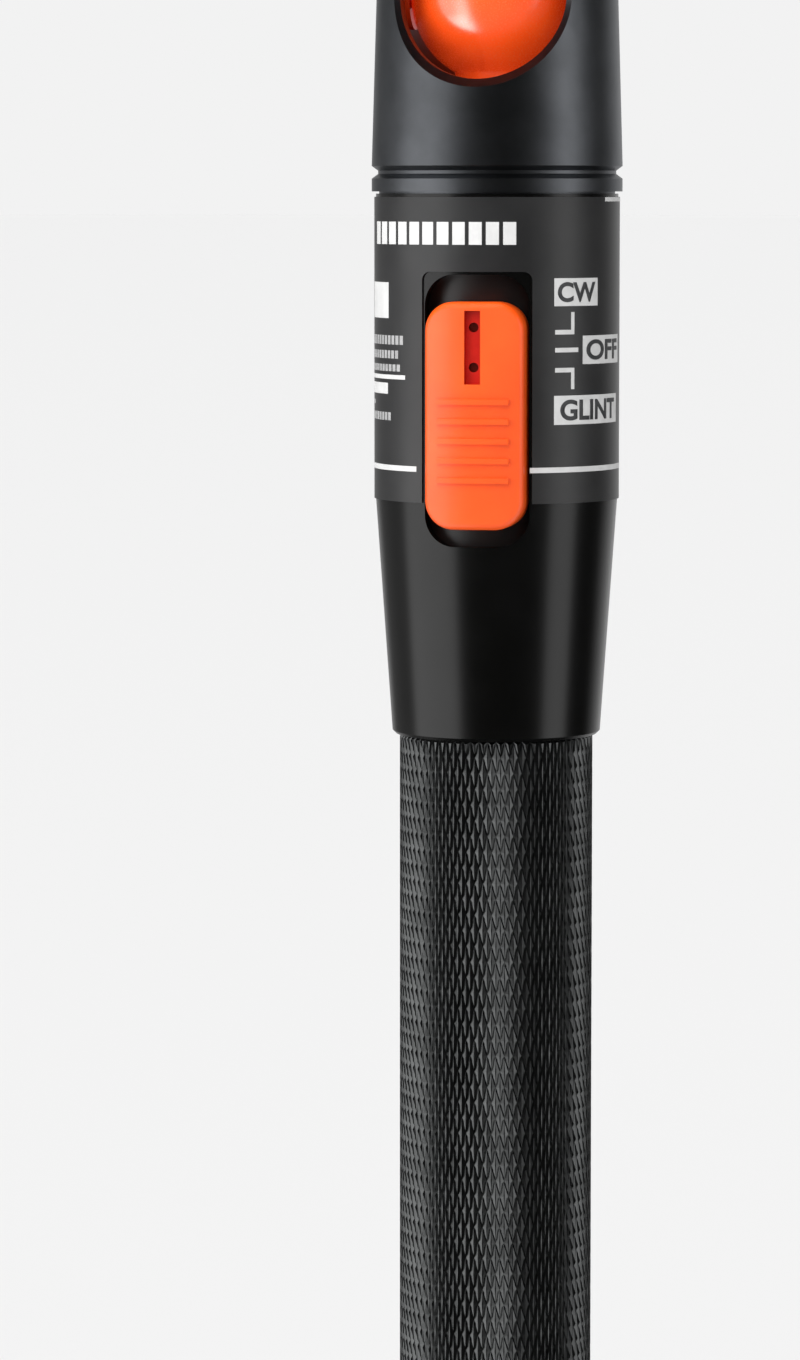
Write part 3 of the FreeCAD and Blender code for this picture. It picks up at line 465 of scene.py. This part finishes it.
words, blocks, text = (sleevePrint[key] for key in ("switchWords", "titleBlocks", "textRows"))
marks = [entry[1:] for entry in words] + sleevePrint["ticks"] + sleevePrint["sideBars"]
marks += [sleevePrint["ringLine"], sleevePrint["topLine"]]
marks += dashes(blocks["from"], blocks["to"], blocks["foot"], blocks["top"], blocks["count"], blocks["fill"])
smallText = [dash for row in text["rows"]
             for dash in dashes(*row, round((row[1] - row[0]) / text["dash"]), text["fill"])]
printOnSleeve("printedMarks", [curvedPatch(sleevePrint, *mark) for mark in marks], sleevePrint, "marks", "printWhite")
printOnSleeve("smallText", [curvedPatch(sleevePrint, *dash) for dash in smallText], sleevePrint, "marks", "printGrey")
printOnSleeve("switchWords", [flatWord(sleevePrint, *entry) for entry in words], sleevePrint, "words", "printDark")
print("sleeve printed")


# pale floor, soft lights and the camera, in metres and degrees
studio = {
    "floor": {"half": 30, "tone": 0.80, "rough": 0.9},
    "backdrop": 0.888,
    "room": {"from": 0.62, "dim": 0.026, "bright": 0.95},  # what the pen mirrors: bright behind it, dim elsewhere
    "camera": {"place": (0.4924, 10.2), "height": 0.1515, "down": 5.4, "turn": 1.067, "lens": 137.4,
               "sensor": 36, "clip": (0.01, 100)},
    "sun": {"strength": 3.62, "angle": 70, "tilt": (12, -10)},
    "aim": (0, 0, 0.12),
}
# turn is measured from the camera's side, positive to its right; only names the pieces that a box lights
lightBoxes = [
    {"name": "leftBox", "turn": -70, "away": 0.62, "height": -0.18, "size": (0.78, 0.98), "glow": 1.25,
     "shine": True},
    {"name": "ballStrip", "turn": -50, "away": 0.62, "height": -0.34, "size": (0.26, 1.2), "glow": 1.5,
     "shine": True, "only": ["port_guardShown"]},
    {"name": "ballGlow", "turn": -62, "away": 0.50, "height": -0.30, "size": (0.35, 0.5), "glow": 2.4,
     "shine": True, "only": ["port_guardShown"]},
    {"name": "leftRim", "turn": -120, "away": 0.62, "height": -0.10, "size": (0.5, 1.0), "glow": 0.17,
     "shine": True},
    {"name": "rightBox", "turn": 67, "away": 0.62, "height": -0.08, "size": (0.33, 1.15), "glow": 1.05,
     "shine": True},
    {"name": "leftFill", "turn": -55, "away": 0.80, "height": 0.40, "size": (0.7, 0.7), "glow": 3.4,
     "shine": False},
    {"name": "frontFill", "turn": 6, "away": 0.90, "height": 0.55, "size": (1.0, 0.8), "glow": 1.35,
     "shine": False},
]


def makeFloor(look):
    material = bpy.data.materials.new("paleFloor")
    material.use_nodes = True
    shader = material.node_tree.nodes["Principled BSDF"]
    shader.inputs["Base Color"].default_value = (look["tone"],) * 3 + (1,)
    shader.inputs["Roughness"].default_value = look["rough"]
    bm = bmesh.new()
    bmesh.ops.create_grid(bm, x_segments=1, y_segments=1, size=look["half"])
    mesh = bpy.data.meshes.new("floor")
    bm.to_mesh(mesh)
    bm.free()
    mesh.materials.append(material)
    floor = bpy.data.objects.new("floor", mesh)
    bpy.context.scene.collection.objects.link(floor)
    floor.visible_glossy = False


def makeRoom(backdrop, room):
    world = bpy.data.worlds.new("studioWorld")
    bpy.context.scene.world = world
    world.use_nodes = True
    tree = world.node_tree
    tree.nodes.clear()
    kinds = ("OutputWorld", "MixShader", "LightPath", "Background", "Background", "TexCoord", "SeparateXYZ",
             "MapRange")
    output, mixer, rays, seen, mirrored, coords, split, depth = (tree.nodes.new("ShaderNode" + kind)
                                                                 for kind in kinds)
    seen.inputs["Color"].default_value = (backdrop,) * 3 + (1,)
    depth.inputs["From Min"].default_value, depth.inputs["From Max"].default_value = room["from"], 1.0
    depth.inputs["To Min"].default_value, depth.inputs["To Max"].default_value = room["dim"], room["bright"]
    tree.links.new(coords.outputs["Generated"], split.inputs["Vector"])
    tree.links.new(split.outputs["Y"], depth.inputs["Value"])
    tree.links.new(depth.outputs["Result"], mirrored.inputs["Strength"])
    tree.links.new(rays.outputs["Is Camera Ray"], mixer.inputs["Fac"])
    tree.links.new(mirrored.outputs["Background"], mixer.inputs[1])
    tree.links.new(seen.outputs["Background"], mixer.inputs[2])
    tree.links.new(mixer.outputs["Shader"], output.inputs["Surface"])


def makeCamera(view):
    away, azimuth = view["place"][0], math.radians(view["place"][1])
    camera = bpy.data.objects.new("camera", bpy.data.cameras.new("camera"))
    camera.data.lens, camera.data.sensor_width, camera.data.sensor_fit = view["lens"], view["sensor"], "AUTO"
    camera.data.clip_start, camera.data.clip_end = view["clip"]
    camera.location = (away * math.sin(azimuth), -away * math.cos(azimuth), view["height"])
    camera.rotation_euler = (math.radians(90 - view["down"]), 0, azimuth + math.radians(view["turn"]))
    bpy.context.scene.collection.objects.link(camera)
    bpy.context.scene.camera = camera


def lightOnly(name, pieces):
    lit = bpy.data.collections.new(name)
    for piece in pieces:
        lit.objects.link(bpy.data.objects[piece])
    return lit


def makeBox(box, azimuth, everyPiece):
    light = bpy.data.lights.new(box["name"], "AREA")
    light.shape, light.size, light.size_y = "RECTANGLE", *box["size"]
    light.energy = box["glow"] * math.pi * box["size"][0] * box["size"][1]
    lamp = bpy.data.objects.new(box["name"], light)
    turn = azimuth + math.radians(box["turn"])
    lamp.location = (box["away"] * math.sin(turn), -box["away"] * math.cos(turn), box["height"])
    lamp.rotation_euler = (Vector(studio["aim"]) - lamp.location).to_track_quat("-Z", "Y").to_euler()
    lamp.visible_glossy = box["shine"]
    lamp.visible_camera = False
    lamp.light_linking.receiver_collection = everyPiece
    if "only" in box:
        lit = lightOnly(box["name"], box["only"])
        lamp.light_linking.receiver_collection = lamp.light_linking.blocker_collection = lit
    bpy.context.scene.collection.objects.link(lamp)


def makeSun(look):
    light = bpy.data.lights.new("softSun", "SUN")
    light.energy, light.angle = look["strength"], math.radians(look["angle"])
    lamp = bpy.data.objects.new("softSun", light)
    lamp.rotation_euler = (*(math.radians(part) for part in look["tilt"]), 0)
    lamp.visible_glossy = False
    bpy.context.scene.collection.objects.link(lamp)


makeFloor(studio["floor"])
makeRoom(studio["backdrop"], studio["room"])
makeCamera(studio["camera"])
floorLeftOut = lightOnly("floorLeftOut", ["floor"])  # the boxes light every piece but not the floor
floorLeftOut.collection_objects[0].light_linking.link_state = "EXCLUDE"
for box in lightBoxes:
    makeBox(box, math.radians(studio["camera"]["place"][1]), floorLeftOut)
makeSun(studio["sun"])
bpy.context.scene.view_settings.view_transform = "Standard"
bpy.context.scene.view_settings.look = "None"
print("studio set")
